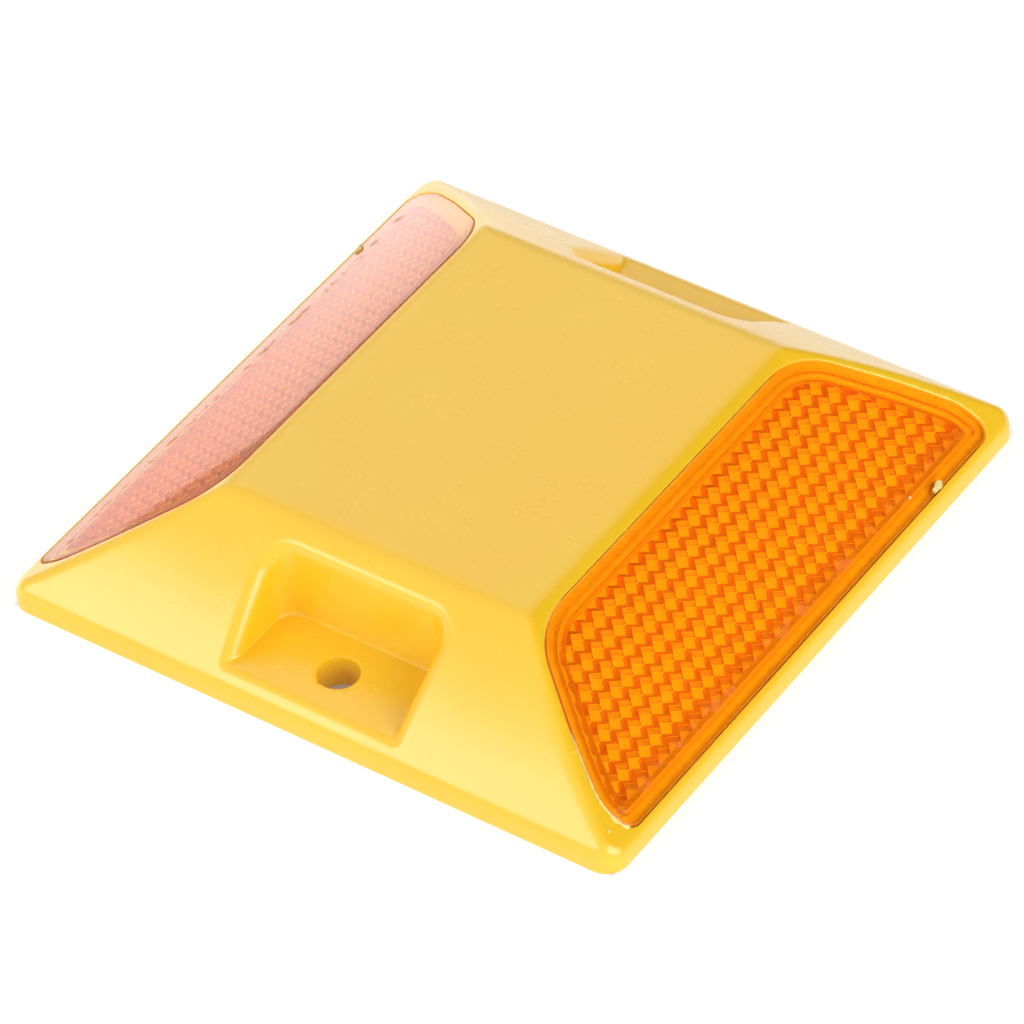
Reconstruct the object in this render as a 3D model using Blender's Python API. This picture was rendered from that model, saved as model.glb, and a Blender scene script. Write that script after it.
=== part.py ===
"""Raised pavement marker: moulded housing, two prismatic lenses, their bond beads and a cast core.

Metres, +Z up. The origin is the centre of the base, the lenses face +X and -X, and the
fixing pockets open towards -Y and +Y.
"""
import math

import bmesh
import bpy
from mathutils import Matrix, Vector

# Outside of the housing
HALF_BASE = 0.050
HEIGHT = 0.019
EDGE_HEIGHT = 0.003
LENS_SLOPE = math.radians(32.5)
POCKET_SLOPE = math.radians(39.5)
EDGE_FILLET = 0.0012
PLATEAU_FILLET = 0.0055
POCKET_SLOPE_CROWN = 0.0008
BASE_CORNER = 0.0036
HIP_CORNER = 0.0014
HIP_START_HEIGHT = 0.0060
EDGE_LEVELS = 4
PLATEAU_LEVELS = 5
SLOPE_HEIGHTS = (0.0045, HIP_START_HEIGHT, 0.009, 0.012, 0.015)

# Hollow underside, and the core cast into it
TOP_WALL = 0.0032
PAN_WALL = 0.002
POCKET_SIDE_WALL = 0.003
RIM_WALL = 0.0035
CAVITY_CORNER = 0.003
BOSS_WALL = 0.0025

# Fixing pockets and their holes
POCKET_FLOOR = 0.0051
POCKET_HALF_WIDTH = 0.0131
POCKET_BACK = 0.0347
POCKET_SIDE_DRAFT = 0.11
POCKET_BACK_DRAFT = 0.07
POCKET_CORNER = 0.0028
HOLE_RADIUS = 0.00295
HOLE_Y = 0.0412

# Lens, in the plane of its slope: distances down it, half widths across it, depths below it.
# Its side is (distance down, half width, corner radius) from the top corner to the bottom one.
LENS_TOP_X = 0.0261
LENS_LENGTH = 0.0271
LENS_SIDE = ((0.0, 0.0310, 0.011), (0.0133, 0.0396, 0.060), (0.0217, 0.0443, 0.010),
             (LENS_LENGTH, 0.0443, 0.0023))
LENS_CHAMFER = 0.0003
LENS_RIM_DEPTH = 0.0017
PRISM_INSET = 0.0033
PRISM_DEPTH = 0.0033

# Seat for the lens, and the bead that bonds it
FIT_GAP = 0.0003
SEAT_DEPTH = 0.0026
PAN_INSET = 0.0026
PAN_DEPTH = 0.0040
BEAD_OUTER_INSET = 0.0005
BEAD_INNER_INSET = 0.0022
LEAST_RADIUS = 0.0012

ARC_STEP = math.radians(15)
ARC_SHARE = 0.9
HOLE_SEGMENTS = 40
OVERRUN = 0.003

YELLOW = (0.93, 0.58, 0.07)
AMBER = (0.90, 0.26, 0.01)
BEAD_CREAM = (0.88, 0.74, 0.45)
CORE_GREY = (0.32, 0.30, 0.27)


def make_material(name, color, roughness, transmission=0.0):
    """A plain Principled material."""
    material = bpy.data.materials.new(name)
    material.use_nodes = True
    shader = material.node_tree.nodes["Principled BSDF"]
    shader.inputs["Base Color"].default_value = (*color, 1.0)
    shader.inputs["Roughness"].default_value = roughness
    shader.inputs["Metallic"].default_value = 0.0
    shader.inputs["Transmission Weight"].default_value = transmission
    return material


def rounded_polygon(corners, radii):
    """A convex anticlockwise outline with an arc at each corner, smaller where room is short."""
    edges = [corner - corners[i - 1] for i, corner in enumerate(corners)]
    edges.append(edges[0])
    turns = [edges[i].angle(edges[i + 1]) for i in range(len(corners))]
    reach = [radius * math.tan(turn / 2) for radius, turn in zip(radii, turns)]
    room = [ARC_SHARE * edges[i].length / (reach[i - 1] + reach[i]) for i in range(len(corners))]
    room.append(room[0])
    points = []
    for i, corner in enumerate(corners):
        radius = radii[i] * min(1.0, room[i], room[i + 1])
        back, ahead = -edges[i].normalized(), edges[i + 1].normalized()
        centre = corner + (back + ahead).normalized() * (radius / math.cos(turns[i] / 2))
        start = corner + back * (radius * math.tan(turns[i] / 2)) - centre
        steps = max(math.ceil(turns[i] / ARC_STEP - 0.01), 2)
        for step in range(steps + 1):
            points.append(centre + Matrix.Rotation(turns[i] * step / steps, 2) @ start)
    return points


def inset_polygon(corners, distance):
    """The corners of a convex anticlockwise polygon moved inwards by a distance."""
    moved = []
    for i, corner in enumerate(corners):
        back = (corner - corners[i - 1]).normalized()
        ahead = (corners[(i + 1) % len(corners)] - corner).normalized()
        normal_back = Vector((-back.y, back.x))
        normal_ahead = Vector((-ahead.y, ahead.x))
        bisector = (normal_back + normal_ahead).normalized()
        moved.append(corner + bisector * (distance / bisector.dot(normal_back)))
    return moved


def rectangle(low_x, low_y, high_x, high_y):
    """Corners of a rectangle, anticlockwise."""
    pairs = ((low_x, low_y), (high_x, low_y), (high_x, high_y), (low_x, high_y))
    return [Vector(pair) for pair in pairs]


def rounded_rectangle(half_x, half_y, radius):
    """Outline of a rectangle about the origin with equal round corners."""
    return rounded_polygon(rectangle(-half_x, -half_y, half_x, half_y), [radius] * 4)


def loft(sections, ring=False):
    """A closed mesh through (outline, height) sections; a ring joins the last to the first."""
    mesh = bmesh.new()
    loops = [[mesh.verts.new((p.x, p.y, height)) for p in outline] for outline, height in sections]
    pairs = list(zip(loops, loops[1:]))
    if ring:
        pairs.append((loops[-1], loops[0]))
    else:
        mesh.faces.new(loops[0])
        mesh.faces.new(loops[-1])
    for lower, upper in pairs:
        for i in range(len(lower)):
            j = (i + 1) % len(lower)
            mesh.faces.new((lower[i], lower[j], upper[j], upper[i]))
    bmesh.ops.recalc_face_normals(mesh, faces=mesh.faces)
    return mesh


def add_object(name, mesh, parent, material=None, matrix=None):
    """Link a bmesh into the scene as an object; one without a material is a hidden cutter."""
    data = bpy.data.meshes.new(name)
    mesh.to_mesh(data)
    mesh.free()
    obj = bpy.data.objects.new(name, data)
    bpy.context.scene.collection.objects.link(obj)
    obj.parent = parent
    if matrix is not None:
        obj.matrix_local = matrix
    if material is None:
        obj.hide_render = True
        obj.display_type = "WIRE"
    else:
        data.materials.append(material)
    return obj


def cut(obj, cutter):
    """Subtract a cutter with a Boolean modifier."""
    modifier = obj.modifiers.new(cutter.name, "BOOLEAN")
    modifier.operation = "DIFFERENCE"
    modifier.solver = "EXACT"
    modifier.object = cutter


def slope_arc(slope, crown):
    """Radius, centre and end angle of the circle that a crowned slope follows in its section."""
    rise = HEIGHT - EDGE_HEIGHT
    run = rise / math.tan(slope)
    chord = math.hypot(rise, run)
    radius = (chord**2 / 4 + crown**2) / (2 * crown)
    centre_out = HALF_BASE - run / 2 - (radius - crown) * math.sin(slope)
    centre_up = EDGE_HEIGHT + rise / 2 - (radius - crown) * math.cos(slope)
    return radius, centre_out, centre_up, math.asin(chord / 2 / radius)


def slope_half(height, slope, crown):
    """Half width of a slope at a height before its edges are filleted."""
    if crown == 0.0:
        return HALF_BASE - (height - EDGE_HEIGHT) / math.tan(slope)
    radius, centre_out, centre_up, _ = slope_arc(slope, crown)
    return centre_out + math.sqrt(radius**2 - (height - centre_up)**2)


def half_width(height, slope, crown):
    """Half width of the filleted outside at a height, along the axis that has this slope."""
    bow = slope_arc(slope, crown)[3] if crown else 0.0
    turn = math.pi / 2 - slope - bow
    top_slope = slope - bow
    edge_centre = EDGE_HEIGHT - EDGE_FILLET * math.tan(turn / 2)
    edge_top = edge_centre + EDGE_FILLET * math.sin(turn)
    plateau_start = HEIGHT - PLATEAU_FILLET * (1 - math.cos(top_slope))
    if height <= edge_centre:
        return HALF_BASE
    if height < edge_top:
        rise = height - edge_centre
        return HALF_BASE - EDGE_FILLET + math.sqrt(EDGE_FILLET**2 - rise**2)
    if height < plateau_start:
        return slope_half(height, slope, crown)
    plateau_half = HALF_BASE - (HEIGHT - EDGE_HEIGHT) / math.tan(slope)
    centre = plateau_half - PLATEAU_FILLET * math.tan(top_slope / 2)
    drop = PLATEAU_FILLET - (HEIGHT - height)
    return centre + math.sqrt(max(PLATEAU_FILLET**2 - drop**2, 0.0))


def housing_levels():
    """Heights of the sections through the outside, closest together where it curves most."""
    edge_start = EDGE_HEIGHT - EDGE_FILLET / 2
    edge_end = EDGE_HEIGHT + EDGE_FILLET / 2
    step = (edge_end - edge_start) / EDGE_LEVELS
    levels = [0.0] + [edge_start + step * i for i in range(EDGE_LEVELS + 1)]
    levels.extend(SLOPE_HEIGHTS)
    for i in range(PLATEAU_LEVELS + 1):
        angle = LENS_SLOPE * (1 - i / PLATEAU_LEVELS)
        levels.append(HEIGHT - PLATEAU_FILLET * (1 - math.cos(angle)))
    return levels


def corner_radius(height):
    """Plan radius of the corner: full at the base, tighter along the hips."""
    blend = min(height / HIP_START_HEIGHT, 1.0)
    return BASE_CORNER + (HIP_CORNER - BASE_CORNER) * blend**2


def housing_outside():
    """The truncated pyramid with its round hips, soft base edge and soft plateau edge."""
    sections = []
    for height in housing_levels():
        half_x = half_width(height, LENS_SLOPE, 0.0)
        half_y = half_width(height, POCKET_SLOPE, POCKET_SLOPE_CROWN)
        sections.append((rounded_rectangle(half_x, half_y, corner_radius(height)), height))
    return loft(sections)


def cavity_half(height, slope, crown, wall):
    """Half width of the hollow at a height, a wall's thickness inside a slope."""
    return min(slope_half(height, slope, crown) - wall / math.sin(slope), HALF_BASE - RIM_WALL)


def cavity_block(gap, low):
    """The hollow's main shape, smaller by a gap all round, down to a low height."""
    top = HEIGHT - TOP_WALL - gap
    sections = []
    for height in sorted({low, 0.0, EDGE_HEIGHT, top}):
        reached = max(height, 0.0)
        half_x = cavity_half(reached, LENS_SLOPE, 0.0, PAN_DEPTH + PAN_WALL) - gap
        half_y = cavity_half(reached, POCKET_SLOPE, POCKET_SLOPE_CROWN, POCKET_SIDE_WALL) - gap
        sections.append((rounded_rectangle(half_x, half_y, CAVITY_CORNER), height))
    return loft(sections)


def boss_block(side, gap):
    """The block round a fixing pocket that the hollow leaves solid."""
    half_x = POCKET_HALF_WIDTH + HEIGHT * POCKET_SIDE_DRAFT + BOSS_WALL + gap
    near = POCKET_BACK - HEIGHT * POCKET_BACK_DRAFT - BOSS_WALL - gap
    far = HALF_BASE + OVERRUN
    low_y, high_y = (near, far) if side > 0 else (-far, -near)
    outline = rectangle(-half_x, low_y, half_x, high_y)
    return loft([(outline, -2 * OVERRUN), (outline, HEIGHT + OVERRUN)])


def pocket_cutter(side):
    """Drafted pocket with round inner corners, open to the outside of the slope."""
    sections = []
    for height in (POCKET_FLOOR, HEIGHT + OVERRUN):
        half_x = POCKET_HALF_WIDTH + (height - POCKET_FLOOR) * POCKET_SIDE_DRAFT
        near = POCKET_BACK - (height - POCKET_FLOOR) * POCKET_BACK_DRAFT
        far = HALF_BASE + 2 * OVERRUN
        low_y, high_y = (near, far) if side > 0 else (-far, -near)
        corners = rectangle(-half_x, low_y, half_x, high_y)
        sections.append((rounded_polygon(corners, [POCKET_CORNER] * 4), height))
    return loft(sections)


def hole_cutter(side):
    """Straight fixing hole through the pocket's floor."""
    mesh = bmesh.new()
    length = POCKET_FLOOR + 2 * OVERRUN
    place = Matrix.Translation((0.0, side * HOLE_Y, POCKET_FLOOR / 2))
    bmesh.ops.create_cone(mesh, cap_ends=True, segments=HOLE_SEGMENTS, radius1=HOLE_RADIUS,
                          radius2=HOLE_RADIUS, depth=length, matrix=place)
    return mesh


def lens_matrix(side):
    """Frame of a lens: X down the slope from the top edge's middle, Z out of the slope."""
    top_height = EDGE_HEIGHT + (HALF_BASE - LENS_TOP_X) * math.tan(LENS_SLOPE)
    tilt = Matrix.Rotation(LENS_SLOPE, 4, "Y")
    turn = Matrix.Rotation(0.0 if side > 0 else math.pi, 4, "Z")
    return turn @ Matrix.Translation((LENS_TOP_X, 0.0, top_height)) @ tilt


def lens_outline(inset=0.0):
    """Lens outline in its frame, moved inwards by an inset or outwards by a negative one."""
    corners = [Vector((down, -half)) for down, half, _ in LENS_SIDE]
    corners += [Vector((down, half)) for down, half, _ in reversed(LENS_SIDE)]
    radii = [max(radius - inset, LEAST_RADIUS) for _, _, radius in LENS_SIDE]
    radii += radii[::-1]
    return rounded_polygon(inset_polygon(corners, inset), radii)


def lens_body():
    """Flat plate with a chamfered front edge and a raised block of prisms on its back."""
    return loft([
        (lens_outline(LENS_CHAMFER), 0.0),
        (lens_outline(), -LENS_CHAMFER),
        (lens_outline(), -LENS_RIM_DEPTH),
        (lens_outline(PRISM_INSET), -LENS_RIM_DEPTH),
        (lens_outline(PRISM_INSET), -PRISM_DEPTH),
    ])


def bond_bead():
    """Flat ring of adhesive between the lens rim and the ledge of its seat."""
    top = -LENS_RIM_DEPTH - FIT_GAP
    bottom = -SEAT_DEPTH + FIT_GAP
    outer = lens_outline(BEAD_OUTER_INSET)
    inner = lens_outline(BEAD_INNER_INSET)
    return loft([(outer, top), (outer, bottom), (inner, bottom), (inner, top)], ring=True)


def seat_cutter():
    """Stepped recess: a ledge for the lens rim and a deeper pan behind its prisms."""
    return loft([
        (lens_outline(-FIT_GAP), OVERRUN),
        (lens_outline(-FIT_GAP), -SEAT_DEPTH),
        (lens_outline(PAN_INSET), -SEAT_DEPTH),
        (lens_outline(PAN_INSET), -PAN_DEPTH),
    ])


def build():
    """Make the pieces and their cutters under one empty."""
    for obj in list(bpy.data.objects):
        bpy.data.objects.remove(obj, do_unlink=True)
    marker = bpy.data.objects.new("marker", None)
    bpy.context.scene.collection.objects.link(marker)

    yellow = make_material("yellow_abs", YELLOW, 0.35)
    amber = make_material("amber_pmma", AMBER, 0.08, transmission=0.6)
    cream = make_material("solvent_bond", BEAD_CREAM, 0.45)
    grey = make_material("filled_resin", CORE_GREY, 0.9)

    housing = add_object("housing_shell", housing_outside(), marker, yellow)
    core = add_object("potting_core", cavity_block(FIT_GAP, 0.0), marker, grey)
    cavity = add_object("cavity_cutter", cavity_block(0.0, -OVERRUN), marker)

    for side, word, end in ((1, "right", "rear"), (-1, "left", "front")):
        matrix = lens_matrix(side)
        add_object(f"amber_lens_{word}", lens_body(), marker, amber, matrix)
        add_object(f"lens_bond_{word}", bond_bead(), marker, cream, matrix)
        cut(housing, add_object(f"seat_cutter_{word}", seat_cutter(), marker, matrix=matrix))
        cut(housing, add_object(f"pocket_cutter_{end}", pocket_cutter(side), marker))
        cut(housing, add_object(f"hole_cutter_{end}", hole_cutter(side), marker))
        cut(cavity, add_object(f"boss_block_{end}", boss_block(side, 0.0), marker))
        cut(core, add_object(f"core_relief_{end}", boss_block(side, FIT_GAP), marker))
    cut(housing, cavity)


build()
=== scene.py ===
"""Looks of a raised pavement marker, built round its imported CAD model.

Metres, +Z up. The lenses face +X and -X, and the fixing pockets open towards -Y and +Y.
"""
import math

import bmesh
import bpy
import numpy as np
from mathutils import Matrix, Vector, noise


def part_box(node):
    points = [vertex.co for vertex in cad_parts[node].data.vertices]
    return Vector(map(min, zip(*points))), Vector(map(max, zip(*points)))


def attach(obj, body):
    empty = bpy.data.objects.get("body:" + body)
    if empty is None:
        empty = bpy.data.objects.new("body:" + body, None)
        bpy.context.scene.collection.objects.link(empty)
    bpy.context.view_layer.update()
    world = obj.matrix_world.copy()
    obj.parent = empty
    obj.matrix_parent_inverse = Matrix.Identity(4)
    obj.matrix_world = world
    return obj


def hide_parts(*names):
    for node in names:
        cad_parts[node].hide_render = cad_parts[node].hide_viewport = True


MM = 0.001
SMALL = 0.01 * MM

# View
VIEW_TARGET = (0.00508, -0.00740, 0.0095)
VIEW_DISTANCE = 0.8857
VIEW_AZIMUTH = math.radians(38.294)
VIEW_ELEVATION = math.radians(43.293)
VIEW_ROLL = math.radians(-5.204)
VIEW_LENS_MM = 230.2
VIEW_SENSOR_MM = 36.0

# Softboxes: name, compass angle, height in degrees, distance, size, brightness
LIGHTS = (
    ("key", -33.0, 29.0, 1.2, 0.42, 4.05),
    ("right", 84.0, 33.0, 1.2, 0.8, 4.1),
    ("back_left", -142.0, 43.0, 1.3, 0.65, 0.88),
)

# Soft fill: dim round one direction, from cosines to it of an outer and an inner limit
DARK_DIRECTION = (0.43, 0.57, 0.69)
DARK_OUTER = 0.4
DARK_INNER = 0.85
FILL_DARK = 0.06
FILL_BRIGHT = 0.86

# Floor: its glow near the marker, behind it and on its left, and how far each takes to grow
FLOOR_HALF = 3.0
FLOOR_GREY = 0.4
FLOOR_ROUGHNESS = 0.9
FLOOR_GLOW = 0.70
FLOOR_GLOW_BEHIND = 1.0
FLOOR_GLOW_LEFT = 1.6
FLOOR_GLOW_UNDER = 0.1
FLOOR_GROWTH_BEHIND = 0.02
FLOOR_GROWTH_LEFT = 0.006
FLOOR_GROWTH_UNDER = 0.002

# Housing, outside
EDGE_HEIGHT = 0.003
LENS_SLOPE = math.radians(32.5)
POCKET_SLOPE = math.radians(39.5)
POCKET_SLOPE_CROWN = 0.0008
EDGE_FILLET_X = 0.0022
EDGE_FILLET_Y = 0.0034
EDGE_FILLET_BLEND = 0.009
PLATEAU_FILLET = 0.0055
HIP_FILLET = 0.0018
BASE_CORNER = 0.0034
FOOT_FILLET = 0.0003

# Grid for the housing's surface: where it turns sharply, and on its flat and sloping parts
GRID_FINE = 0.0003
GRID_PAST_CENTRE = 0.001
POLISH_STEPS = 8

# Fixing pockets and their holes, one of them with a nick
POCKET_FLOOR = 0.0051
POCKET_HALF_WIDTH = 0.0131
POCKET_BACK = 0.0347
POCKET_SIDE_DRAFT = 0.11
POCKET_BACK_DRAFT = 0.07
POCKET_CORNER = 0.0031
POCKET_RIM_FILLET = 0.0023
POCKET_FLOOR_FILLET = 0.0003
HOLE_RADIUS = 0.00295
HOLE_LIP = 0.00022
HOLE_Y = 0.0412
NOTCH_TURN = math.radians(246)
NOTCH_SPREAD = 0.09
NOTCH_DEPTH = 0.00028
HOLE_SIDES = 96

# Lens, in the plane of its slope: (distance down, half width, corner radius) along its side
LENS_TOP_X = 0.0261
LENS_LENGTH = 0.0271
LENS_SIDE = ((0.0, 0.0310, 0.011), (0.0133, 0.0396, 0.060), (0.0217, 0.0443, 0.010),
             (LENS_LENGTH, 0.0443, 0.0023))
LENS_EDGE_FILLET = 0.00028
LENS_RIM_DEPTH = 0.0017
LENS_SHIFT = 0.00008
RIM_GROOVE_INSET = 0.0014
RIM_GROOVE_WIDTH = 0.0003
RIM_GROOVE_DEPTH = 0.0009
RIM_STEP_INSET = 0.0026

# Prisms on the back of the lens: cube corners whose axes meet traffic's light inside the lens
PRISM_PITCH = 0.0025
PRISM_TILT = math.radians(34.5)
PRISM_INSET = 0.0030
PRISM_FRONT_DEPTH = 0.00125
PRISM_FIRST_ROW = 0.0057
PRISM_ROWS = (-3, 10)
PRISM_HALF_COUNT = 19
PRISM_UNEVEN = 0.00005
PRISM_BEVEL = 0.00012
PRISM_LUMP = 0.0014
PRISM_FOLD = 0.5
PRISM_SIDE_LEAN = 0.2
PLATE_DEPTH = 0.0010

# Rear faces of a lens by the cosine of their direction to the front's: its rim and flanks. The
# flanks get a darker red amber, which is painted shade for the gaps between the prisms' bright
# faces.
RIM_BELOW = -0.99
PAINTED_SHADE_FLANK_ABOVE = -0.8

# Frosted band on the front of a lens, between two distances down from its top edge
SCUFF_START = 0.0231
SCUFF_END = 0.0253
SCUFF_FADE_TOP = 0.0006
SCUFF_FADE_END = 0.0005
SCUFF_SIZE = 0.0024
SCUFF_RAGGED = (0.42, 0.66)
SCUFF_ROUGHNESS = 0.45

# Seat for the lens
SEAT_GAP = 0.0002
SEAT_DEPTH = 0.0026
SEAT_LIP = 0.00012
PAN_INSET = 0.0026
PAN_DEPTH = 0.0040
OVERRUN = 0.003

# Adhesive: a ring under the lens rim, filler in the seam beside it and a lumpy spill
BEAD_INNER_INSET = 0.0023
BEAD_BULGE = 0.0002
BEAD_GAP = 0.00003
BOND_CREASE = math.radians(50)
SEAM_STEP = 0.00012
SEAM_SIDES = 8
SEAM_HALF = 0.00014
SEAM_RISE = -0.0005
SEAM_FULL = 0.00003
SEAM_SINK = 0.0007
SEAM_END = 0.0266
SEAM_FOOT = 0.0002
SEAM_FOOT_SHARE = 0.4
SPILL_START = 0.42
SPILL_HALF = 0.00032
SPILL_RISE = 0.00028
SPILL_OUT = 0.00012
SPILL_ONSET = 6
SPILL_LUMP = 0.0017
SPILL_GRAIN = 0.0006
SPILL_MIX = (0.9, 1.5, 1.2)

# Flakes of adhesive: distance down, distance across, half sizes, rise, depth of the root.
# All are on the right lens and the first is on the left one too.
FLECKS = (
    (0.02670, 0.0311, 0.00044, 0.00090, 0.00028, 0.0019),
    (0.02489, 0.0265, 0.00019, 0.00021, 0.00010, 0.0001),
    (0.02497, -0.0465, 0.00018, 0.00022, 0.00014, 0.0003),
)

# Roughness of a flake of unit radius: strength and size of its lumps and of its grain
FLECK_LUMPS = (0.7, 0.7)
FLECK_GRAIN = (0.4, 0.3)
FLECK_ROOT_WIDTH = 0.4

# Core underside, with its relief in layers of strength, size of lumps and seed
CORE_SPACING = 0.0006
CORE_RECESS = 0.00045
CORE_RELIEF = 0.00018
CORE_LAYERS = ((0.6, 0.0011, 11), (0.6, 0.0023, 12), (1.0, 0.012, 13))

# Arcs of the outlines
ARC_STEP = math.radians(6)
ARC_SHARE = 0.9
LEAST_ARC_STEPS = 4
LEAST_RADIUS = 0.0008

# Surfaces in metres or from 0 to 1: spacings, bump heights and roughness
ABS_CLOUD = 0.014
ABS_SMUDGE = 0.006
ABS_ROUGHNESS = (0.262, 0.278)
ABS_SPECULAR = 0.78
ABS_IOR = 1.53
PEEL_SIZE = 0.0011
PEEL_HEIGHT = 0.000003
GRAIN_SIZE = 0.00022
GRAIN_HEIGHT = 0.0000008
SPECK_SPACING = 0.0055
SPECK_RADIUS = (0.022, 0.04)
SPECK_SHARE = (0.78, 0.82)
SPECK_STRENGTH = 0.55
AMBER_WAVE = 0.0007
AMBER_IOR = 1.49
BOND_PATCH = 0.0016
BOND_GRAIN = 0.0004
BOND_GRAIN_HEIGHT = 0.00002
BOND_ROUGHNESS = 0.38
SAND_SPACING = 0.0009
RESIN_CLOUD = 0.02
RESIN_GRAIN = 0.0003
RESIN_GRAIN_HEIGHT = 0.00008
RESIN_ROUGHNESS = 0.86
NOISE_MIDDLE = (0.3, 0.7)


# Outlines and lofted solids

def rounded_polygon(corners, radii):
    """A convex anticlockwise outline with an arc at each corner, smaller where room is short."""
    edges = [corner - corners[i - 1] for i, corner in enumerate(corners)]
    edges.append(edges[0])
    turns = [edges[i].angle(edges[i + 1]) for i in range(len(corners))]
    reach = [radius * math.tan(turn / 2) for radius, turn in zip(radii, turns)]
    room = [ARC_SHARE * edges[i].length / (reach[i - 1] + reach[i]) for i in range(len(corners))]
    room.append(room[0])
    points = []
    for i, corner in enumerate(corners):
        radius = radii[i] * min(1.0, room[i], room[i + 1])
        back, ahead = -edges[i].normalized(), edges[i + 1].normalized()
        centre = corner + (back + ahead).normalized() * (radius / math.cos(turns[i] / 2))
        start = corner + back * (radius * math.tan(turns[i] / 2)) - centre
        steps = max(math.ceil(turns[i] / ARC_STEP - 0.01), LEAST_ARC_STEPS)
        for step in range(steps + 1):
            points.append(centre + Matrix.Rotation(turns[i] * step / steps, 2) @ start)
    return points


def inset_polygon(corners, distance):
    """The corners of a convex anticlockwise polygon moved inwards by a distance."""
    moved = []
    for i, corner in enumerate(corners):
        back = (corner - corners[i - 1]).normalized()
        ahead = (corners[(i + 1) % len(corners)] - corner).normalized()
        normal_back = Vector((-back.y, back.x))
        normal_ahead = Vector((-ahead.y, ahead.x))
        bisector = (normal_back + normal_ahead).normalized()
        moved.append(corner + bisector * (distance / bisector.dot(normal_back)))
    return moved


def lens_outline(inset=0.0):
    """Lens outline in its own frame, moved inwards by an inset or outwards by a negative one."""
    corners = [Vector((down, -half)) for down, half, _ in LENS_SIDE]
    corners += [Vector((down, half)) for down, half, _ in reversed(LENS_SIDE)]
    radii = [max(radius - inset, LEAST_RADIUS) for _, _, radius in LENS_SIDE]
    radii += radii[::-1]
    return rounded_polygon(inset_polygon(corners, inset), radii)


def top_height():
    """Height of the top edge of a lens."""
    return EDGE_HEIGHT + (HALF_BASE - LENS_TOP_X) * math.tan(LENS_SLOPE)


def lens_matrix(side):
    """Frame of a lens: X down the slope from its top edge, Y across, Z out of the slope."""
    tilt = Matrix.Rotation(LENS_SLOPE, 4, "Y")
    turn = Matrix.Rotation(0.0 if side > 0 else math.pi, 4, "Z")
    return turn @ Matrix.Translation((LENS_TOP_X, 0.0, top_height())) @ tilt


def skin(loops, ring=False):
    """A closed mesh through loops of points; a ring joins the last to the first."""
    mesh = bmesh.new()
    loops = [[mesh.verts.new(point) for point in loop] for loop in loops]
    pairs = list(zip(loops, loops[1:]))
    if ring:
        pairs.append((loops[-1], loops[0]))
    else:
        mesh.faces.new(loops[0])
        mesh.faces.new(loops[-1])
    for lower, upper in pairs:
        for i in range(len(lower)):
            j = (i + 1) % len(lower)
            mesh.faces.new((lower[i], lower[j], upper[j], upper[i]))
    bmesh.ops.recalc_face_normals(mesh, faces=mesh.faces)
    return mesh


def loft(sections, ring=False):
    """A closed mesh through (outline, height) sections."""
    return skin([[(p.x, p.y, height) for p in outline] for outline, height in sections], ring)


def close_sheet(mesh, sink):
    """Make a solid of an open sheet: its rim is run down to where sink puts it, and capped."""
    rim = [edge for edge in mesh.edges if edge.is_boundary]
    extruded = bmesh.ops.extrude_edge_only(mesh, edges=rim)["geom"]
    for vert in extruded:
        if isinstance(vert, bmesh.types.BMVert):
            vert.co = sink(vert.co)
    edges = [edge for edge in extruded if isinstance(edge, bmesh.types.BMEdge)]
    bmesh.ops.edgeloop_fill(mesh, edges=[edge for edge in edges if edge.is_boundary])
    bmesh.ops.recalc_face_normals(mesh, faces=mesh.faces)
    return mesh


def link_object(name, data):
    """A new object in the scene with some data."""
    obj = bpy.data.objects.new(name, data)
    bpy.context.scene.collection.objects.link(obj)
    return obj


def add_object(name, mesh, matrix=None):
    """Link a closed bmesh into the scene as an object, with its faces pointing out."""
    if mesh.calc_volume(signed=True) < 0:
        bmesh.ops.reverse_faces(mesh, faces=mesh.faces)
    data = bpy.data.meshes.new(name)
    mesh.to_mesh(data)
    mesh.free()
    if matrix is not None:
        data.transform(matrix)
    return link_object(name, data)


def combine(obj, others, operation):
    """Cut, join or intersect an object with others that are then removed."""
    for other in others:
        modifier = obj.modifiers.new(other.name, "BOOLEAN")
        modifier.operation = operation
        modifier.solver = "MANIFOLD"
        modifier.object = other
    settle_modifiers(obj)
    for other in others:
        bpy.data.objects.remove(other)


def settle_modifiers(obj):
    """Replace an object's mesh by what its modifiers make of it."""
    graph = bpy.context.evaluated_depsgraph_get()
    mesh = bpy.data.meshes.new_from_object(obj.evaluated_get(graph))
    obj.modifiers.clear()
    obj.data = mesh


def smooth_shade(obj, angle=math.radians(28)):
    """Smooth shading with creases where faces meet at more than an angle."""
    obj.data.shade_smooth()
    obj.data.set_sharp_from_angle(angle=angle)


def paint(obj, *materials):
    """Give an object these materials and no others."""
    obj.data.materials.clear()
    for material in materials:
        obj.data.materials.append(material)


# Fields: the signed distance from points to a solid, and the direction in which it grows

def flat_face(points, normal, offset):
    """Field of the half space behind a flat face."""
    normal = np.array(normal) / np.linalg.norm(normal)
    return points @ normal - offset, np.broadcast_to(normal, points.shape)


def face_through(points, normal, place):
    """Field of the half space behind the flat face through a place."""
    normal = np.array(normal) / np.linalg.norm(normal)
    return flat_face(points, normal, float(normal @ np.array(place)))


def crowned_face(points):
    """Field behind the crowned slope over a pocket: a wide cylinder along X."""
    rise = HEIGHT - EDGE_HEIGHT
    run = rise / math.tan(POCKET_SLOPE)
    chord = math.hypot(rise, run)
    radius = (chord**2 / 4 + POCKET_SLOPE_CROWN**2) / (2 * POCKET_SLOPE_CROWN)
    sunk = radius - POCKET_SLOPE_CROWN
    centre_y = HALF_BASE - run / 2 - sunk * math.sin(POCKET_SLOPE)
    centre_z = EDGE_HEIGHT + rise / 2 - sunk * math.cos(POCKET_SLOPE)
    out_y, out_z = points[..., 1] - centre_y, points[..., 2] - centre_z
    length = np.hypot(out_y, out_z)
    direction = np.stack([np.zeros_like(length), out_y / length, out_z / length], axis=-1)
    return length - radius, direction


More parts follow.
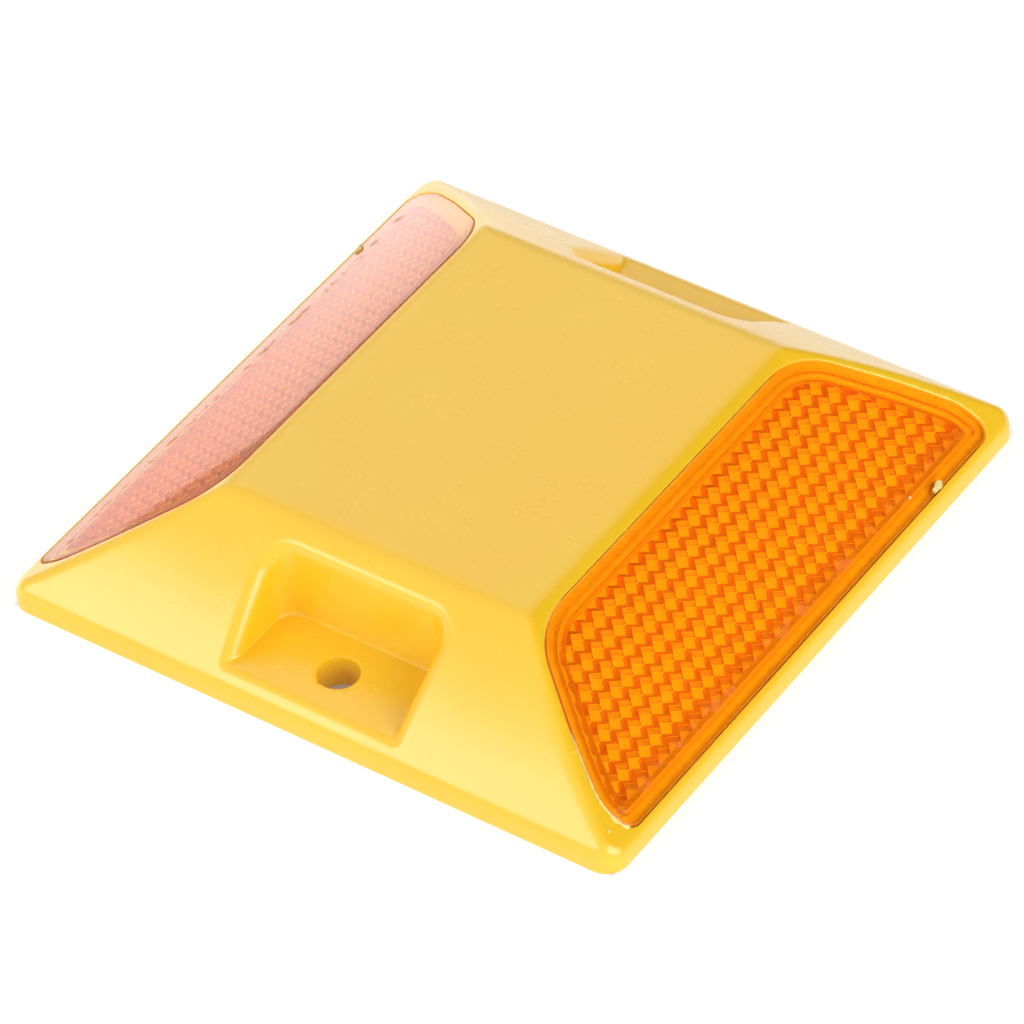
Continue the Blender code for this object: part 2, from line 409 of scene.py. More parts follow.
def common(first, second, radius):
    """Field of what two solids share, with a rolling-ball fillet where their faces meet."""
    distance_a, direction_a = first
    distance_b, direction_b = second
    cosine = np.clip((direction_a * direction_b).sum(-1), -0.9999, 0.9999)
    sine_squared = 1 - cosine**2
    along_a, along_b = distance_a + radius, distance_b + radius
    share_a = (along_a - along_b * cosine) / sine_squared
    share_b = (along_b - along_a * cosine) / sine_squared
    offset = share_a[..., None] * direction_a + share_b[..., None] * direction_b
    length = np.sqrt((offset**2).sum(-1)) + 1e-12
    on_fillet = (share_a > 0) & (share_b > 0)
    sharp = np.where((distance_a > distance_b)[..., None], direction_a, direction_b)
    distance = np.where(on_fillet, length - radius, np.maximum(distance_a, distance_b))
    return distance, np.where(on_fillet[..., None], offset / length[..., None], sharp)


def outside_of(field):
    """Field of everything that a solid leaves out."""
    return -field[0], -field[1]


def pocket_field(points):
    """Field of the drafted fixing pocket on the +Y side, open outwards and upwards."""
    side = face_through(points, (1, 0, -POCKET_SIDE_DRAFT), (POCKET_HALF_WIDTH, 0, POCKET_FLOOR))
    back = face_through(points, (0, -1, -POCKET_BACK_DRAFT), (0, POCKET_BACK, POCKET_FLOOR))
    floor = flat_face(points, (0, 0, -1), -POCKET_FLOOR)
    return common(common(side, back, POCKET_CORNER), floor, POCKET_FLOOR_FILLET)


def housing_field(points):
    """Field of the +X +Y quarter of the housing, before the seats, holes and hollow are cut."""
    across = (math.sin(LENS_SLOPE), 0, math.cos(LENS_SLOPE))
    lens_slope = face_through(points, across, (HALF_BASE, 0, EDGE_HEIGHT))
    slopes = common(lens_slope, crowned_face(points), HIP_FILLET)
    top = common(slopes, flat_face(points, (0, 0, 1), HEIGHT), PLATEAU_FILLET)
    side_x = flat_face(points, (1, 0, 0), HALF_BASE)
    side_y = flat_face(points, (0, 1, 0), HALF_BASE)
    turn = np.clip((points[..., 1] - points[..., 0]) / EDGE_FILLET_BLEND + 0.5, 0, 1)
    turn = turn**2 * (3 - 2 * turn)
    edge_fillet = EDGE_FILLET_X * (1 - turn) + EDGE_FILLET_Y * turn
    block = common(top, common(side_x, side_y, BASE_CORNER), edge_fillet)
    cut = common(block, outside_of(pocket_field(points)), POCKET_RIM_FILLET)
    return common(cut, flat_face(points, (0, 0, -1), 0.0), FOOT_FILLET)


def graded_lines(start, spans):
    """Grid lines from a start through spans of (end, spacing)."""
    lines = [start]
    for end, spacing in spans:
        count = max(round((end - lines[-1]) / spacing), 1)
        lines.extend(np.linspace(lines[-1], end, count + 1)[1:])
    return np.array(lines)


def surface_net(lines, field):
    """Points and quads of a field's surface: a point in each grid cell that it crosses."""
    grid = np.stack(np.meshgrid(*lines, indexing="ij"), axis=-1)
    value = field(grid)[0]
    cells = np.array([len(line) - 1 for line in lines])
    total = np.zeros((*cells, 3))
    count = np.zeros(cells)
    rings = []
    for axis in range(3):
        near = [slice(None)] * 3
        far = [slice(None)] * 3
        near[axis], far[axis] = slice(None, -1), slice(1, None)
        near, far = tuple(near), tuple(far)
        crossed = (value[near] < 0) != (value[far] < 0)
        start, end = value[near][crossed], value[far][crossed]
        share = (start / (start - end))[:, None]
        point = grid[near][crossed] * (1 - share) + grid[far][crossed] * share
        ring = np.repeat(np.argwhere(crossed)[:, None], 4, axis=1)
        others = [k for k in range(3) if k != axis]
        ring[:, 1:3, others[0]] -= 1
        ring[:, 2:4, others[1]] -= 1
        whole = ((ring >= 0) & (ring < cells)).all(axis=(1, 2))
        for corner in range(4):
            kept = ((ring[:, corner] >= 0) & (ring[:, corner] < cells)).all(axis=1)
            index = tuple(ring[kept, corner].T)
            np.add.at(total, index, point[kept])
            np.add.at(count, index, 1)
        backwards = (start >= 0) != (axis == 1)
        ring[backwards] = ring[backwards, ::-1]
        rings.append(ring[whole])
    used = count > 0
    number = np.full(cells, -1)
    number[used] = np.arange(used.sum())
    points = total[used] / count[used][:, None]
    rings = np.concatenate(rings)
    quads = number[rings[..., 0], rings[..., 1], rings[..., 2]]
    for _ in range(POLISH_STEPS):
        distance, direction = field(points)
        points = points - distance[:, None] * direction
    return points, quads


def mesh_object(name, points, faces):
    """Link a mesh of points and faces into the scene."""
    data = bpy.data.meshes.new(name)
    data.from_pydata(points.tolist(), [], faces.tolist())
    return link_object(name, data)


# Housing

def housing_quarter():
    """The +X +Y quarter of the housing, run a cell past both mirror planes."""
    start = -GRID_PAST_CENTRE
    first = (0.0, GRID_PAST_CENTRE)
    last = (HALF_BASE + GRID_FINE, GRID_FINE)
    wall = POCKET_HALF_WIDTH - 0.0012
    xs = graded_lines(start, [first, (wall, 0.0009), (wall + 0.0050, GRID_FINE),
                              (0.0460, 0.0010), last])
    back = POCKET_BACK - 0.0030
    ys = graded_lines(start, [first, (0.0280, 0.0012), (back, 0.0005),
                              (POCKET_BACK + 0.0012, GRID_FINE), (0.0460, 0.0006), last])
    zs = graded_lines(-GRID_FINE, [(0.0009, GRID_FINE), (0.0062, 0.00022),
                                   (0.0160, 0.00045), (HEIGHT + 0.0004, GRID_FINE)])
    points, quads = surface_net((xs, ys, zs), housing_field)
    return mesh_object("marker_housing", points, quads)


def seat_cutter(side):
    """Stepped recess for a lens: a lipped rim, a ledge and a deeper pan behind the prisms."""
    mesh = loft([
        (lens_outline(-SEAT_GAP - SEAT_LIP - OVERRUN), OVERRUN),
        (lens_outline(-SEAT_GAP - SEAT_LIP), 0.0),
        (lens_outline(-SEAT_GAP), -SEAT_LIP),
        (lens_outline(-SEAT_GAP), -SEAT_DEPTH),
        (lens_outline(PAN_INSET), -SEAT_DEPTH),
        (lens_outline(PAN_INSET), -PAN_DEPTH),
    ])
    return add_object(f"seat_{side}", mesh, lens_matrix(side))


def circle(radius, notch=0.0):
    """Points of a circle about the origin, nicked outwards at one place by a notch."""
    points = []
    for i in range(HOLE_SIDES):
        turn = 2 * math.pi * i / HOLE_SIDES
        reach = radius + notch * math.exp(-((turn - NOTCH_TURN) / NOTCH_SPREAD)**2)
        points.append(Vector((reach * math.cos(turn), reach * math.sin(turn))))
    return points


def hole_cutter(side):
    """Fixing hole with a slightly rounded lip at the pocket floor, nicked on the -Y side."""
    notch = NOTCH_DEPTH if side < 0 else 0.0
    mesh = loft([
        (circle(HOLE_RADIUS), -OVERRUN),
        (circle(HOLE_RADIUS), POCKET_FLOOR - 4 * HOLE_LIP),
        (circle(HOLE_RADIUS, notch), POCKET_FLOOR - HOLE_LIP),
        (circle(HOLE_RADIUS + 0.3 * HOLE_LIP, notch), POCKET_FLOOR - 0.3 * HOLE_LIP),
        (circle(HOLE_RADIUS + HOLE_LIP, notch), POCKET_FLOOR),
        (circle(HOLE_RADIUS + HOLE_LIP, notch), POCKET_FLOOR + HOLE_LIP),
    ])
    return add_object(f"hole_{side}", mesh, Matrix.Translation((0.0, side * HOLE_Y, 0.0)))


def hollow_cutter():
    """The hollow underside: the CAD core's own shape, run out through the base."""
    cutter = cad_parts["potting_core"].copy()
    cutter.data = cutter.data.copy()
    cutter.parent = None
    cutter.name = "hollow"
    bpy.context.scene.collection.objects.link(cutter)
    for vertex in cutter.data.vertices:
        if vertex.co.z < 0.5 * MM:
            vertex.co.z = -OVERRUN
    mesh = bmesh.new()
    mesh.from_mesh(cutter.data)
    bmesh.ops.remove_doubles(mesh, verts=mesh.verts, dist=SMALL)
    mesh.to_mesh(cutter.data)
    mesh.free()
    return cutter


def make_housing(material):
    """The moulded housing, from its mirrored quarter."""
    housing = housing_quarter()
    mirror = housing.modifiers.new("mirror", "MIRROR")
    mirror.use_axis = (True, True, False)
    mirror.use_bisect_axis = (True, True, False)
    mirror.merge_threshold = SMALL
    mirror.bisect_threshold = SMALL / 10
    settle_modifiers(housing)
    cutters = [maker(side) for side in (1, -1) for maker in (seat_cutter, hole_cutter)]
    combine(housing, cutters + [hollow_cutter()], "DIFFERENCE")
    smooth_shade(housing)
    paint(housing, material)
    return housing


# Lenses

def prism_cutter():
    """All that lies behind an array of tilted cube corners, wider than the lens all round."""
    inward = Vector((-math.sin(PRISM_TILT), 0, -math.cos(PRISM_TILT)))
    down = Vector((math.cos(PRISM_TILT), 0, -math.sin(PRISM_TILT)))
    radius = PRISM_PITCH / math.sqrt(3)
    level_depth = PRISM_PITCH / math.sqrt(6)
    row_pitch = 1.5 * radius / math.cos(PRISM_TILT)
    base = -PRISM_FRONT_DEPTH - 0.5 * radius * math.sin(PRISM_TILT)
    mesh = bmesh.new()

    def corner(row, key, steps_down, level):
        centre = Vector((PRISM_FIRST_ROW + row * row_pitch, key * PRISM_PITCH / 2, base))
        spot = centre + down * (steps_down * radius) + inward * (level * level_depth)
        uneven = Vector([lumps(spot, PRISM_LUMP, seed) for seed in (31, 32, 33)])
        return mesh.verts.new(spot + PRISM_UNEVEN * uneven)

    keys = range(-2 * PRISM_HALF_COUNT, 2 * PRISM_HALF_COUNT + 1)
    previous = None
    for row in range(PRISM_ROWS[0], PRISM_ROWS[1]):
        upper, lower = {}, {}
        for key in keys:
            centred = (key - row) % 2 == 0
            upper[key] = corner(row, key, -1, 1) if centred else corner(row, key, -0.5, 0)
            lower[key] = corner(row, key, 1, 0) if centred else corner(row, key, 0.5, 1)
        for key in keys[1:-1]:
            if (key - row) % 2 == 0:
                apex = corner(row, key, 0, 2)
                mesh.faces.new((apex, lower[key - 1], lower[key], lower[key + 1]))
                mesh.faces.new((apex, lower[key + 1], upper[key + 1], upper[key]))
                mesh.faces.new((apex, upper[key], upper[key - 1], lower[key - 1]))
        if previous:
            for key in keys[1:-2]:
                wall = (previous[key], upper[key], upper[key + 1], previous[key + 1])
                mesh.faces.new(wall)
        previous = lower
    loose = [vert for vert in mesh.verts if not vert.link_faces]
    bmesh.ops.delete(mesh, geom=loose, context="VERTS")
    inner = [edge for edge in mesh.edges if not edge.is_boundary]
    folds = [edge for edge in inner if edge.calc_face_angle() > PRISM_FOLD]
    bmesh.ops.bevel(mesh, geom=folds, offset=PRISM_BEVEL, segments=1, affect="EDGES",
                    clamp_overlap=True)
    backwards = inward + PRISM_SIDE_LEAN * down

    def sink(spot):
        return spot - backwards * ((spot.z + PAN_DEPTH + OVERRUN) / backwards.z)

    return close_sheet(mesh, sink)


def round_edge(radius, count=4):
    """(inset, drop) steps of a quarter-round edge, from the front face to the side."""
    turns = [math.pi / 2 * i / count for i in range(count + 1)]
    return [(radius * (1 - math.sin(turn)), radius * (1 - math.cos(turn))) for turn in turns]


def make_lens(name, side, clear, painted_shade_flank, rim):
    """Clear plate with a rounded edge, a grooved rim and prisms behind, whose flanks are rougher and
    tinted a darker red as painted shade.
    """
    groove_end = RIM_GROOVE_INSET + RIM_GROOVE_WIDTH
    groove_top = -LENS_RIM_DEPTH + RIM_GROOVE_DEPTH
    sections = [(lens_outline(inset), -drop) for inset, drop in round_edge(LENS_EDGE_FILLET)]
    sections += [
        (lens_outline(), -LENS_RIM_DEPTH),
        (lens_outline(RIM_GROOVE_INSET), -LENS_RIM_DEPTH),
        (lens_outline(RIM_GROOVE_INSET), groove_top),
        (lens_outline(groove_end), groove_top),
        (lens_outline(groove_end), -LENS_RIM_DEPTH),
        (lens_outline(RIM_STEP_INSET), -LENS_RIM_DEPTH),
        (lens_outline(RIM_STEP_INSET), -PLATE_DEPTH),
        (lens_outline(PRISM_INSET), -PLATE_DEPTH),
        (lens_outline(PRISM_INSET), -PAN_DEPTH),
    ]
    place = Matrix.Translation((0.0, LENS_SHIFT, 0.0)) @ lens_matrix(side)
    lens = add_object(name, loft(sections), place)
    cutter = add_object("prisms", prism_cutter(), place)
    outline = lens_outline((RIM_STEP_INSET + PRISM_INSET) / 2)
    field = loft([(outline, 0.0), (outline, -PAN_DEPTH - MM)])
    combine(cutter, [add_object("prism_field", field, place)], "INTERSECT")
    combine(lens, [cutter], "DIFFERENCE")
    smooth_shade(lens)
    paint(lens, clear, painted_shade_flank, rim)
    outward = place.to_3x3() @ Vector((0, 0, 1))
    back = place.translation.dot(outward) + groove_top
    for face in lens.data.polygons:
        facing = face.normal.dot(outward)
        if face.center.dot(outward) < back + SMALL:
            # Flanks take the darker red amber that paints shade into the gaps between the bright
            # prism faces.
            if facing > PAINTED_SHADE_FLANK_ABOVE:
                face.material_index = 1
            elif facing < RIM_BELOW:
                face.material_index = 2
    return lens


# Adhesive

def lumps(place, scale, seed):
    """Smooth noise from -1 to 1 whose lumps are about a scale apart."""
    return noise.noise(Vector(place) / scale + Vector((seed, 7.3 * seed, 0)))


def layered(place, layers):
    """Sum of smooth noise in layers of (strength, scale, seed)."""
    return sum(strength * lumps(place, scale, seed) for strength, scale, seed in layers)


def seam_path(side):
    """Points along the seam that shows on the near side of a lens, from top to bottom."""
    outline = lens_outline(-SEAT_GAP / 2)
    near = [point for point in outline if point.y * side < 0 and point.x < SEAM_END]
    near.sort(key=lambda point: point.x)
    dense = []
    for start, end in zip(near, near[1:]):
        steps = max(math.ceil((end - start).length / SEAM_STEP), 1)
        dense += [start.lerp(end, step / steps) for step in range(steps)]
    return dense


def make_bond(name, side, material):
    """Adhesive ring under the lens rim, with what was squeezed out at the edges of the lens."""
    top, bottom = -LENS_RIM_DEPTH - BEAD_GAP, -SEAT_DEPTH + BEAD_GAP
    middle = (top + bottom) / 2
    outer, inner = lens_outline(-0.5 * SEAT_GAP), lens_outline(BEAD_INNER_INSET)
    ring = [(outer, top), (outer, bottom), (inner, bottom),
            (lens_outline(BEAD_INNER_INSET - BEAD_BULGE), middle), (inner, top)]
    mesh = loft(ring, ring=True)
    bond = add_object(name, mesh, lens_matrix(side))
    seam = add_object("seam", seam_mesh(side), lens_matrix(side))
    shown = len(FLECKS) if side > 0 else 1
    flecks = [add_object(f"fleck_{i}", fleck_mesh(side, i), lens_matrix(side))
              for i in range(shown)]
    combine(bond, [seam] + flecks, "UNION")
    smooth_shade(bond, BOND_CREASE)
    paint(bond, material)
    return bond


def fleck_mesh(side, index):
    """A rough flake of adhesive left on the lens edge or beside it."""
    down, across, half_down, half_across, rise, root = FLECKS[index]
    layers = ((*FLECK_LUMPS, 21 + side + index), (*FLECK_GRAIN, 23 + index))
    mesh = bmesh.new()
    bmesh.ops.create_icosphere(mesh, subdivisions=4, radius=1.0)
    for vert in mesh.verts:
        spot = vert.co * (1 + layered(vert.co, layers))
        height, width = (rise, 1.0) if spot.z > 0 else (root, FLECK_ROOT_WIDTH)
        vert.co = (down + spot.x * half_down * width, across * side + spot.y * half_across,
                   spot.z * height)
    return mesh


def seam_mesh(side):
    """Filler sunk in the seam; on the right it swells into a lumpy bead towards the bottom."""
    path = seam_path(side)
    even, coarse, grainy = SPILL_MIX
    loops = []
    for i, point in enumerate(path):
        ahead = path[min(i + 1, len(path) - 1)] - path[max(i - 1, 0)]
        outward = Vector((ahead.y, -ahead.x)).normalized() * side
        run = point.x / LENS_LENGTH
        spill = max(0.0, run - SPILL_START) / (1 - SPILL_START) if side > 0 else 0.0
        shown = min(SPILL_ONSET * spill, 1.0)
        lump = lumps((point.x, point.y, 0), SPILL_LUMP, 3 + side)
        fine = lumps((point.x, point.y, 0.01), SPILL_GRAIN, 5 + side)
        spill = max(0.0, spill**2 * (even + coarse * lump + grainy * fine))
        half = SEAM_HALF + spill * SPILL_HALF
        rise = SEAM_RISE * (1 - shown) + (SEAM_FULL + spill * SPILL_RISE) * shown
        middle = point + outward * (SPILL_OUT * spill)
        loop = []
        for step in range(SEAM_SIDES + 1):
            turn = math.pi * step / SEAM_SIDES
            offset = middle + outward * (half * math.cos(turn))
            loop.append((offset.x, offset.y, -SEAM_SINK + (rise + SEAM_SINK) * math.sin(turn)))
        for share in (-SEAM_FOOT_SHARE, SEAM_FOOT_SHARE):
            offset = point + outward * (SEAM_HALF * share)
            loop.append((offset.x, offset.y, -LENS_RIM_DEPTH - SEAM_FOOT))
        loops.append(loop)
    return skin(loops)


# Core

def make_core(material):
    """Sand-filled resin in the hollow, with a coarse poured underside."""
    core = hollow_cutter()
    core.name = "marker_core"
    reach = HALF_BASE + CORE_SPACING
    count = round(2 * reach / CORE_SPACING)
    mesh = bmesh.new()
    bmesh.ops.create_grid(mesh, x_segments=count, y_segments=count, size=reach)
    for vert in mesh.verts:
        vert.co.z = CORE_RECESS + CORE_RELIEF * layered(vert.co, CORE_LAYERS)
    close_sheet(mesh, lambda spot: Vector((spot.x, spot.y, -2 * OVERRUN)))
    combine(core, [add_object("rough_cut", mesh)], "DIFFERENCE")
    smooth_shade(core)
    paint(core, material)
    return core


# Materials

class Nodes:
    """A node tree being built, with short calls for its nodes."""

    def __init__(self, tree, coordinates):
        self.tree = tree
        self.place = self.add("TexCoord").outputs[coordinates]

    def add(self, kind, inputs=None, **settings):
        """A node with its settings made and its inputs set or linked."""
        node = self.tree.nodes.new("ShaderNode" + kind)
        for key, value in settings.items():
            setattr(node, key, value)
        self.fill(node, inputs or {})
        return node

    def fill(self, node, inputs):
        """Set or link the inputs of a node."""
        for key, value in inputs.items():
            if isinstance(value, bpy.types.NodeSocket):
                self.tree.links.new(value, node.inputs[key])
            else:
                node.inputs[key].default_value = value

    def noise(self, size, detail=2.0, roughness=0.5):
        """Noise from 0 to 1 with lumps of about a size in metres."""
        inputs = {"Vector": self.place, "Scale": 1 / size, "Detail": detail,
                  "Roughness": roughness}
        return self.add("TexNoise", inputs).outputs["Fac"]

    def ramp(self, value, low, high, start=0.0, end=1.0):
        """A value's range from low to high, stretched smoothly over start to end."""
        inputs = {"Value": value, "From Min": low, "From Max": high, "To Min": start,
                  "To Max": end}
        node = self.add("MapRange", inputs, interpolation_type="SMOOTHSTEP")
        return node.outputs["Result"]

    def math(self, operation, first, second=0.0):
        """Arithmetic on one or two values."""
        return self.add("Math", {0: first, 1: second}, operation=operation).outputs[0]

    def blend(self, share, first, second):
        """A colour part of the way from one to another."""
        node = self.add("Mix", data_type="RGBA")
        self.fill(node, {"Factor": share, "A": first, "B": second})
        return node.outputs["Result"]

    def axes(self):
        """X, Y and Z of the place shaded."""
        node = self.add("SeparateXYZ", {"Vector": self.place})
        return node.outputs["X"], node.outputs["Y"], node.outputs["Z"]

    def bump(self, height, distance, normal=None):
        """A bumped normal whose full height is a distance in metres."""
        inputs = {"Height": height, "Distance": distance, "Strength": 1.0}
        if normal is not None:
            inputs["Normal"] = normal
        return self.add("Bump", inputs).outputs["Normal"]


class Surface(Nodes):
    """A material being built round its own shader."""

    def __init__(self, name):
        self.material = bpy.data.materials.new(name)
        self.material.use_nodes = True
        super().__init__(self.material.node_tree, "Object")
        self.shader = self.tree.nodes["Principled BSDF"]


def srgb(red, green, blue):
    """Linear colour of a display colour given as 0 to 255."""
    def linear(value):
        share = value / 255
        return share / 12.92 if share <= 0.04045 else ((share + 0.055) / 1.055) ** 2.4
    return (linear(red), linear(green), linear(blue), 1.0)


WHITE = (1.0, 1.0, 1.0, 1.0)
ABS_DEEP = srgb(249, 197, 29)
ABS_PALE = srgb(250, 200, 35)
SPECK_DARK = srgb(196, 132, 30)
SPECK_PALE = srgb(255, 236, 170)
LENS_AMBER = (0.955, 0.83, 0.03, 1.0)
LENS_SCUFFED = (1.0, 0.80, 0.35, 1.0)
LENS_SHADOW = (1.0, 0.90, 0.25, 1.0)
# Darker red amber for the prism flanks: painted shade for the gaps between the bright prism faces.
FLANK_PAINTED_SHADE_AMBER = (0.98, 0.23, 0.012, 1.0)
RIM_AMBER = (0.93, 0.42, 0.025, 1.0)
BOND_DEEP = srgb(240, 214, 128)
BOND_PALE = srgb(250, 232, 158)
SAND_DARK = srgb(96, 92, 84)
SAND_PALE = srgb(176, 168, 152)
RESIN_GREY = srgb(120, 114, 104)


def abs_material():
    """Moulded yellow ABS: faint flow marks, sparse specks, orange peel, grain and smudges."""
    look = Surface("yellow_abs")
    cloud = look.noise(ABS_CLOUD, 3.0, 0.55)
    color = look.blend(look.ramp(cloud, *NOISE_MIDDLE), ABS_DEEP, ABS_PALE)
    cells = look.add("TexVoronoi", {"Vector": look.place, "Scale": 1 / SPECK_SPACING})
    pick = look.add("SeparateColor", {"Color": cells.outputs["Color"]}).outputs
    near = look.ramp(cells.outputs["Distance"], *SPECK_RADIUS, 1.0, 0.0)
    speck = look.math("MULTIPLY", near, look.ramp(pick["Red"], *SPECK_SHARE))
    tone = look.blend(look.ramp(pick["Green"], 0.45, 0.55), SPECK_DARK, SPECK_PALE)
    color = look.blend(look.math("MULTIPLY", speck, SPECK_STRENGTH), color, tone)
    normal = look.bump(look.noise(PEEL_SIZE, 1.0), PEEL_HEIGHT)
    normal = look.bump(look.noise(GRAIN_SIZE, 2.0), GRAIN_HEIGHT, normal)
    smudge = look.noise(ABS_SMUDGE, 4.0, 0.6)
    look.fill(look.shader, {
        "Base Color": color,
        "Roughness": look.ramp(smudge, 0.35, 0.7, *ABS_ROUGHNESS),
        "Normal": normal,
        "IOR": ABS_IOR,
        "Specular IOR Level": ABS_SPECULAR,
    })
    return look.material


def scuffs(look):
    """Ragged patches where the front of a lens is frosted: a band above its bottom rim."""
    across, _, height = look.axes()
    out = look.math("MULTIPLY", look.math("ABSOLUTE", across), math.cos(LENS_SLOPE))
    down = look.math("SUBTRACT", out, look.math("MULTIPLY", height, math.sin(LENS_SLOPE)))
    start = LENS_TOP_X * math.cos(LENS_SLOPE) - top_height() * math.sin(LENS_SLOPE)
    low, high = start + SCUFF_START, start + SCUFF_END
    above = look.ramp(down, low, low + SCUFF_FADE_TOP)
    below = look.ramp(down, high - SCUFF_FADE_END, high, 1.0, 0.0)
    ragged = look.ramp(look.noise(SCUFF_SIZE, 5.0, 0.6), *SCUFF_RAGGED)
    return look.math("MULTIPLY", look.math("MULTIPLY", above, below), ragged)


def amber_material(name, color, clear, roughness, waves, scuffed=False):
    """Amber acrylic, cloudy to clear, that lets lamp light through; waves is a bump height."""
    look = Surface(name)
    look.fill(look.shader, {
        "Base Color": color,
        "Roughness": roughness,
        "IOR": AMBER_IOR,
        "Transmission Weight": clear,
        "Normal": look.bump(look.noise(AMBER_WAVE, 2.0), waves),
    })
    if scuffed:
        mask = scuffs(look)
        look.fill(look.shader, {
            "Base Color": look.blend(mask, color, LENS_SCUFFED),
            "Roughness": look.ramp(mask, 0.0, 1.0, roughness, SCUFF_ROUGHNESS),
        })
    passed = look.add("BsdfTransparent", {"Color": LENS_SHADOW})
    lamp = look.add("LightPath").outputs["Is Shadow Ray"]
    inputs = {0: lamp, 1: look.shader.outputs["BSDF"], 2: passed.outputs["BSDF"]}
    mixed = look.add("MixShader", inputs)
    look.fill(look.tree.nodes["Material Output"], {"Surface": mixed.outputs["Shader"]})
    return look.material


def bond_material():
    """Cured cream adhesive, satin and slightly uneven."""
    look = Surface("cream_adhesive")
    patch = look.noise(BOND_PATCH, 3.0, 0.6)
    look.fill(look.shader, {
        "Base Color": look.blend(look.ramp(patch, *NOISE_MIDDLE), BOND_DEEP, BOND_PALE),
        "Roughness": BOND_ROUGHNESS,
        "Normal": look.bump(look.noise(BOND_GRAIN, 3.0), BOND_GRAIN_HEIGHT),
    })
    return look.material


def resin_material():
    """Grey filled resin with pale and dark sand in it."""
    look = Surface("sand_resin")
    grains = look.add("TexVoronoi", {"Vector": look.place, "Scale": 1 / SAND_SPACING})
    tone = look.add("SeparateColor", {"Color": grains.outputs["Color"]}).outputs["Red"]
    color = look.blend(tone, SAND_DARK, SAND_PALE)
    shade = look.ramp(look.noise(RESIN_CLOUD, 3.0), *NOISE_MIDDLE)
    look.fill(look.shader, {
        "Base Color": look.blend(shade, color, RESIN_GREY),
        "Roughness": RESIN_ROUGHNESS,
        "Normal": look.bump(look.noise(RESIN_GRAIN, 4.0, 0.7), RESIN_GRAIN_HEIGHT),
    })
    return look.material


# Stage

def make_floor():
    """White floor that glows, more behind the marker and most on its left."""
    mesh = bmesh.new()
    bmesh.ops.create_grid(mesh, x_segments=1, y_segments=1, size=FLOOR_HALF)
    data = bpy.data.meshes.new("floor")
    mesh.to_mesh(data)
    mesh.free()
    floor = link_object("floor", data)
    look = Surface("white_floor")
    across, along, _ = look.axes()
    reach = look.math("MAXIMUM", look.math("ABSOLUTE", across), look.math("ABSOLUTE", along))
    behind = look.ramp(along, HALF_BASE, HALF_BASE + FLOOR_GROWTH_BEHIND,
                       FLOOR_GLOW, FLOOR_GLOW_BEHIND)
    left = look.ramp(look.math("MULTIPLY", across, -1.0),
                     HALF_BASE, HALF_BASE + FLOOR_GROWTH_LEFT, 0.0, FLOOR_GLOW_LEFT)
    glow = look.math("MAXIMUM", behind, left)
    look.fill(look.shader, {
        "Base Color": (FLOOR_GREY, FLOOR_GREY, FLOOR_GREY, 1.0),
        "Roughness": FLOOR_ROUGHNESS,
        "Emission Color": WHITE,
        "Emission Strength": look.ramp(reach, HALF_BASE - FLOOR_GROWTH_UNDER, HALF_BASE,
                                       FLOOR_GLOW_UNDER, glow),
    })
    data.materials.append(look.material)


def make_light(name, azimuth, elevation, distance, size, brightness):
    """Square softbox facing the marker, placed by compass angle and height in degrees."""
    data = bpy.data.lights.new(name, "AREA")
    data.shape = "SQUARE"
    data.size = size
    data.energy = brightness * math.pi * size**2
    light = link_object(name, data)
    turn = (Matrix.Rotation(math.radians(azimuth), 4, "Z")
            @ Matrix.Rotation(math.radians(90 - elevation), 4, "X"))
    back = turn.to_3x3() @ Vector((0, 0, distance))
    light.matrix_world = Matrix.Translation(back) @ turn


def make_world():
    """Pale surroundings in view; as light, a soft fill that is dim behind on the right."""
    world = bpy.data.worlds.new("studio")
    world.use_nodes = True
    look = Nodes(world.node_tree, "Generated")
    side = look.add("VectorMath", {0: look.place, 1: DARK_DIRECTION}, operation="DOT_PRODUCT")
    fill = look.ramp(side.outputs["Value"], DARK_OUTER, DARK_INNER, FILL_BRIGHT, FILL_DARK)
    in_view = look.add("LightPath").outputs["Is Camera Ray"]
    seen = look.add("Mix", {"Factor": in_view, "A": fill, "B": 1.0})
    background = look.tree.nodes["Background"]
    look.fill(background, {"Color": WHITE, "Strength": seen.outputs["Result"]})
    bpy.context.scene.world = world
    bpy.context.scene.view_settings.view_transform = "Standard"


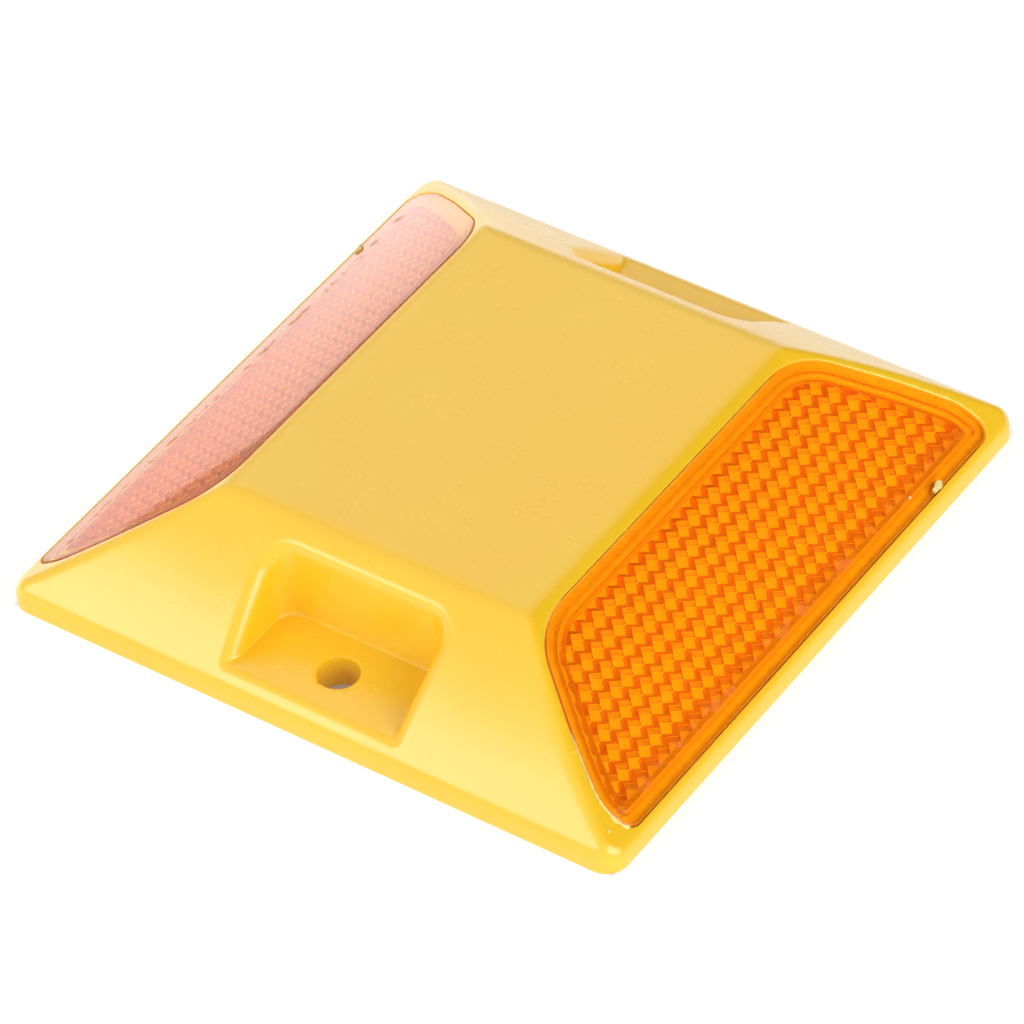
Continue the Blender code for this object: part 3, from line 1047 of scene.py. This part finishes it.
def make_camera():
    """Camera at the reference viewing angle."""
    data = bpy.data.cameras.new("camera")
    data.lens = VIEW_LENS_MM
    data.sensor_width = VIEW_SENSOR_MM
    camera = link_object("camera", data)
    turn = (Matrix.Rotation(VIEW_AZIMUTH, 4, "Z")
            @ Matrix.Rotation(math.pi / 2 - VIEW_ELEVATION, 4, "X")
            @ Matrix.Rotation(VIEW_ROLL, 4, "Z"))
    back = turn.to_3x3() @ Vector((0, 0, VIEW_DISTANCE))
    camera.matrix_world = Matrix.Translation(Vector(VIEW_TARGET) + back) @ turn
    bpy.context.scene.camera = camera


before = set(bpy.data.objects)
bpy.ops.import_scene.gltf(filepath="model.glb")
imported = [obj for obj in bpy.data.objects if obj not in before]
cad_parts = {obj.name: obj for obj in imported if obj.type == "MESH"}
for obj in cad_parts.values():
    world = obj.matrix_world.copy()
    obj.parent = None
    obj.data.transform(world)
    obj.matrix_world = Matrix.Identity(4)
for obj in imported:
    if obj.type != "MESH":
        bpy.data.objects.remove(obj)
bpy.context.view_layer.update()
HALF_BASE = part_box("housing_shell")[1].x
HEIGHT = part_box("housing_shell")[1].z

make_camera()
make_world()
make_floor()
for light in LIGHTS:
    make_light(*light)

ambers = (
    amber_material("amber_clear", LENS_AMBER, clear=1.0, roughness=0.03, waves=0.000003,
                   scuffed=True),
    # Flank amber: rougher, less clear and a darker red, as painted shade between the prisms' bright
    # faces.
    amber_material("amber_flank_painted_shade", FLANK_PAINTED_SHADE_AMBER, clear=0.6, roughness=0.2, waves=0.000012),
    amber_material("amber_rim", RIM_AMBER, clear=0.7, roughness=0.15, waves=0.000008),
)
cream = bond_material()
pieces = (
    (make_housing(abs_material()), "housing_shell", "housing_abs"),
    (make_lens("marker_lens_right", 1, *ambers), "amber_lens_right", "lens_pmma"),
    (make_lens("marker_lens_left", -1, *ambers), "amber_lens_left", "lens_pmma"),
    (make_bond("marker_bond_right", 1, cream), "lens_bond_right", "bond_adhesive"),
    (make_bond("marker_bond_left", -1, cream), "lens_bond_left", "bond_adhesive"),
    (make_core(resin_material()), "potting_core", "core_resin"),
)
for piece, node, slot in pieces:
    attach(piece, "root")
    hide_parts(node)
